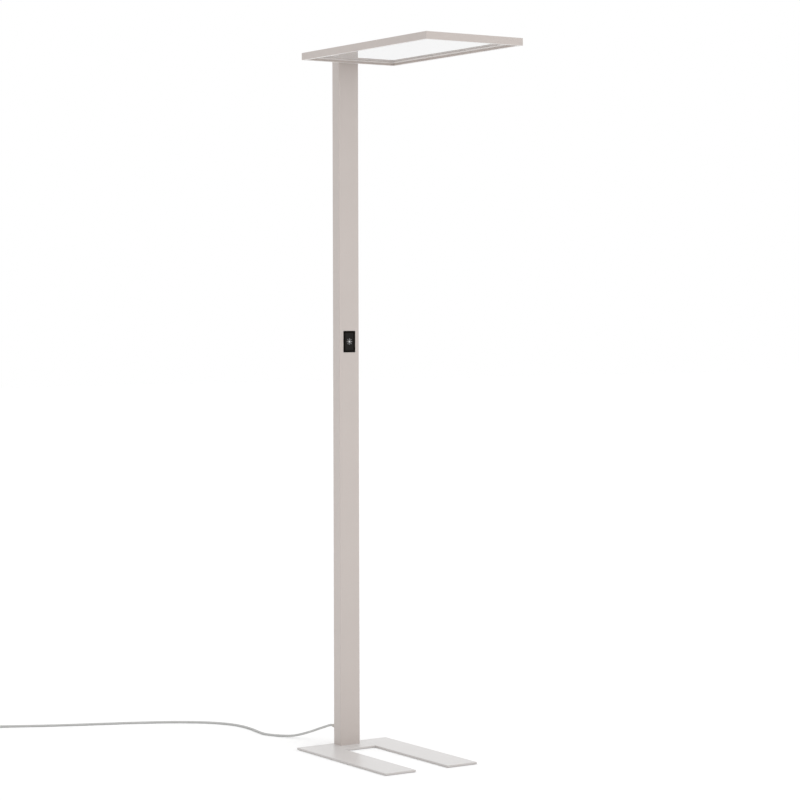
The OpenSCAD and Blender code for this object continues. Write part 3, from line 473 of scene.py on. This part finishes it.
def make_base():
    low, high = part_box("base_plate")
    right, front, rear = high.x, low.y, high.y

    def corner(x, y, sx, sy):
        """Quarter circle at the corner (x, y), whose centre lies towards (sx, sy)."""
        r = BASE_CORNER_R
        cx, cy = x + sx * r, y + sy * r
        return [(cx - sx * r * math.cos(a), cy - sy * r * math.sin(a))
                for a in (math.radians(15 * i) for i in range(7))]

    half = [(right - LEG_W, rear - REAR_BAR_L)]
    half += corner(right - LEG_W, front, 1, 1)
    half += reversed(corner(right, front, -1, 1))
    half += corner(right, rear, -1, -1)
    outline = half + [(-x, y) for x, y in reversed(half)]
    data = loft([[(x, y, z) for x, y in outline] for z in (low.z, high.z)])
    smooth_by_angle(data, 40)
    plate = new_piece("base", data, "base_paint", LAMP, "base_plate")
    round_edges(plate, BASE_EDGE_R, 4)


# ---------------------------------------------------------------- head

RAIL_WALL = 0.002
RIM_W = 0.010
RIM_STEP = 0.006
LEDGE_IN = 0.029
LEDGE_T = 0.002
FLANGE_TOP = 0.0185
FLANGE_T = 0.002
RAIL_EDGE_R = 0.0003


def make_rail(name, at, angle, length, height):
    """Mitred rail along X with its outer face at y = 0 and its inner side towards +Y, then put in place."""
    section = [
        (0, 0), (RIM_W, 0), (RIM_W, RIM_STEP), (LEDGE_IN, RIM_STEP), (LEDGE_IN, RIM_STEP + LEDGE_T),
        (RIM_W - RAIL_WALL, RIM_STEP + LEDGE_T), (RIM_W - RAIL_WALL, RAIL_WALL), (RAIL_WALL, RAIL_WALL),
        (RAIL_WALL, FLANGE_TOP - FLANGE_T), (RIM_W, FLANGE_TOP - FLANGE_T), (RIM_W, FLANGE_TOP),
        (RAIL_WALL, FLANGE_TOP), (RAIL_WALL, height), (0, height),
    ]
    place = Matrix.Translation(at) @ Matrix.Rotation(math.radians(angle), 4, "Z")
    rings = [[place @ Vector((side * (length / 2 - u), u, v)) for u, v in section] for side in (-1, 1)]
    rail = new_piece(name + "_edged", loft(rings), "paint", LAMP, name)
    round_edges(rail, RAIL_EDGE_R, 2)


def make_rails():
    low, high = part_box("rail_left")
    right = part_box("rail_right")[1].x
    middle = (low.y + high.y) / 2
    length, height = high.y - low.y, high.z - low.z
    make_rail("rail_left", (low.x, middle, low.z), -90, length, height)
    make_rail("rail_right", (right, middle, low.z), 90, length, height)
    make_rail("rail_front", (0, low.y, low.z), 0, right - low.x, height)
    make_rail("rail_rear", (0, high.y, low.z), 180, right - low.x, height)


# ---------------------------------------------------------------- push button

CORNER_STEPS = 5
BEZEL_CORNER_R = 0.0018
OPENING_CORNER_R = 0.0006
CAVITY_CORNER_R = 0.0004
BEZEL_LIP = 0.0016
BEZEL_WALL = 0.0016
BEZEL_FRONT_T = 0.0025
BEZEL_EDGE_R = 0.00035
KEY_W = 0.027
KEY_H = 0.0495
KEY_GAP = 0.0003
KEY_EDGE_R = 0.0005
KEY_FLANGE_T = 0.0012
FLANGE_GAP = 0.00005     # between the key's flange and the bezel
SYMBOL_PROUD = 0.00003   # how far the symbol stands out of the key
STEM_R = 0.0025


def make_button():
    low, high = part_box("switch_bezel")
    key_low, key_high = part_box("button_key")
    middle_z = (low.z + high.z) / 2
    outer = (high.x - low.x, high.z - low.z, BEZEL_CORNER_R)
    face_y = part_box("column_tube")[0].y
    lip_back = low.y + BEZEL_FRONT_T
    opening = (KEY_W + 2 * KEY_GAP, KEY_H + 2 * KEY_GAP, OPENING_CORNER_R)
    skirt = (outer[0] - 2 * BEZEL_LIP, outer[1] - 2 * BEZEL_LIP, OPENING_CORNER_R)
    cavity = (skirt[0] - 2 * BEZEL_WALL, skirt[1] - 2 * BEZEL_WALL, CAVITY_CORNER_R)
    bezel = new_piece("bezel_edged", join(
        window_frame(outer, opening, low.y, face_y, middle_z),
        window_frame(skirt, opening, face_y, lip_back, middle_z),
        window_frame(skirt, cavity, lip_back, high.y, middle_z),
    ), "black_plastic", LAMP, "switch_bezel")
    round_edges(bezel, BEZEL_EDGE_R)

    flange_front = lip_back + FLANGE_GAP
    flange_back = flange_front + KEY_FLANGE_T
    w, h = KEY_W / 2, KEY_H / 2
    front = key_low.y + SYMBOL_PROUD
    piece = new_piece("key_edged", join(
        slab((-w, front, middle_z - h), (w, flange_back, middle_z + h)),
        slab((key_low.x, flange_front, key_low.z), (key_high.x, flange_back, key_high.z)),
        lathe([(STEM_R, 0), (STEM_R, key_high.y - flange_back)], (0, flange_back, middle_z), (0, 1, 0), 32),
    ), "key_plastic", BUTTON, "button_key")
    round_edges(piece, KEY_EDGE_R)


# ---------------------------------------------------------------- cable gland

GLAND_BORE_R = 0.0048
GLAND_CHAMFER = 0.0006
RELIEF_WALL = 0.0007     # at the relief's thin end
RELIEF_TIP_ROUND = 0.0003
RELIEF_STRAIGHT = 0.25   # the share of the relief's length that isn't tapered
RELIEF_TAPER = 0.74


def make_gland():
    low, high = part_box("cable_gland")
    relief_low, relief_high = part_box("strain_relief")
    x, z = (low.x + high.x) / 2, (low.z + high.z) / 2
    r = (high.x - low.x) / 2
    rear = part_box("column_tube")[1].y
    end = high.y - rear
    profile = [(GLAND_BORE_R, low.y - rear), (GLAND_BORE_R, 0), (r - GLAND_CHAMFER, 0), (r, GLAND_CHAMFER),
               (r, end - GLAND_CHAMFER), (r - GLAND_CHAMFER, end)]
    new_piece("gland_round", lathe(profile, (x, rear, z), (0, 1, 0)), "gland_plastic", LAMP, "cable_gland")
    thick, tip = (relief_high.x - relief_low.x) / 2, CORD_D / 2 + RELIEF_WALL
    length = relief_high.y - relief_low.y
    profile = [(thick, 0)]
    for i in range(13):
        share = i / 12
        profile.append((tip + (thick - tip) * (1 - share * share),
                        length * (RELIEF_STRAIGHT + RELIEF_TAPER * share)))
    profile.append((tip - RELIEF_TIP_ROUND, length))
    relief = lathe(profile, (x, relief_low.y, z), (0, 1, 0))
    new_piece("relief_round", relief, "gland_plastic", LAMP, "strain_relief")


# ---------------------------------------------------------------- surroundings

FLOOR_HALF = 30
FLOOR_COLOUR = (0.97, 0.97, 0.97)
FLOOR_LIFT = 0.08                # added for the camera alone, so that the floor is white in the picture
LIGHT_SLOPE = (0.2, -0.13, 0.0)  # how the level light grows along +X and towards the front


def make_floor():
    data = bpy.data.meshes.new("floor")
    e = FLOOR_HALF
    data.from_pydata([(-e, -e, 0), (e, -e, 0), (e, e, 0), (-e, e, 0)], [], [(0, 1, 2, 3)])
    floor = bpy.data.objects.new("floor", data)
    bpy.context.scene.collection.objects.link(floor)
    mat, shader = node_material("floor", FLOOR_COLOUR, 1.0)
    shader.inputs["Specular IOR Level"].default_value = 0
    shader.inputs["Emission Color"].default_value = (1, 1, 1, 1)
    ray = mat.node_tree.nodes.new("ShaderNodeLightPath")
    lift = mat.node_tree.nodes.new("ShaderNodeMath")
    lift.operation = "MULTIPLY"
    lift.inputs[1].default_value = FLOOR_LIFT
    mat.node_tree.links.new(ray.outputs["Is Camera Ray"], lift.inputs[0])
    mat.node_tree.links.new(lift.outputs[0], shader.inputs["Emission Strength"])
    data.materials.append(mat)


def make_world():
    world = bpy.data.worlds.new("studio")
    world.use_nodes = True
    tree = world.node_tree
    background = tree.nodes["Background"]
    background.inputs["Color"].default_value = (1, 1, 1, 1)
    # Strength is 1 plus the slope, and plain 1 for the camera
    place = tree.nodes.new("ShaderNodeTexCoord")
    towards = tree.nodes.new("ShaderNodeVectorMath")
    towards.operation = "DOT_PRODUCT"
    towards.inputs[1].default_value = LIGHT_SLOPE
    ray = tree.nodes.new("ShaderNodeLightPath")
    unseen = tree.nodes.new("ShaderNodeMath")
    unseen.operation = "SUBTRACT"
    unseen.inputs[0].default_value = 1.0
    strength = tree.nodes.new("ShaderNodeMath")
    strength.operation = "MULTIPLY_ADD"
    strength.inputs[2].default_value = 1.0
    tree.links.new(place.outputs["Generated"], towards.inputs[0])
    tree.links.new(ray.outputs["Is Camera Ray"], unseen.inputs[1])
    tree.links.new(towards.outputs["Value"], strength.inputs[0])
    tree.links.new(unseen.outputs[0], strength.inputs[1])
    tree.links.new(strength.outputs[0], background.inputs["Strength"])
    bpy.context.scene.world = world


# ---------------------------------------------------------------- the scene

make_camera()
MATERIALS = make_materials()
dress_cad(MATERIALS)
cord, cord_length = make_cord()
plug = make_plug()
pins = make_plug_pins()
make_base()
make_rails()
make_button()
make_gland()
make_floor()
make_world()
bpy.context.scene.view_settings.view_transform = "Standard"
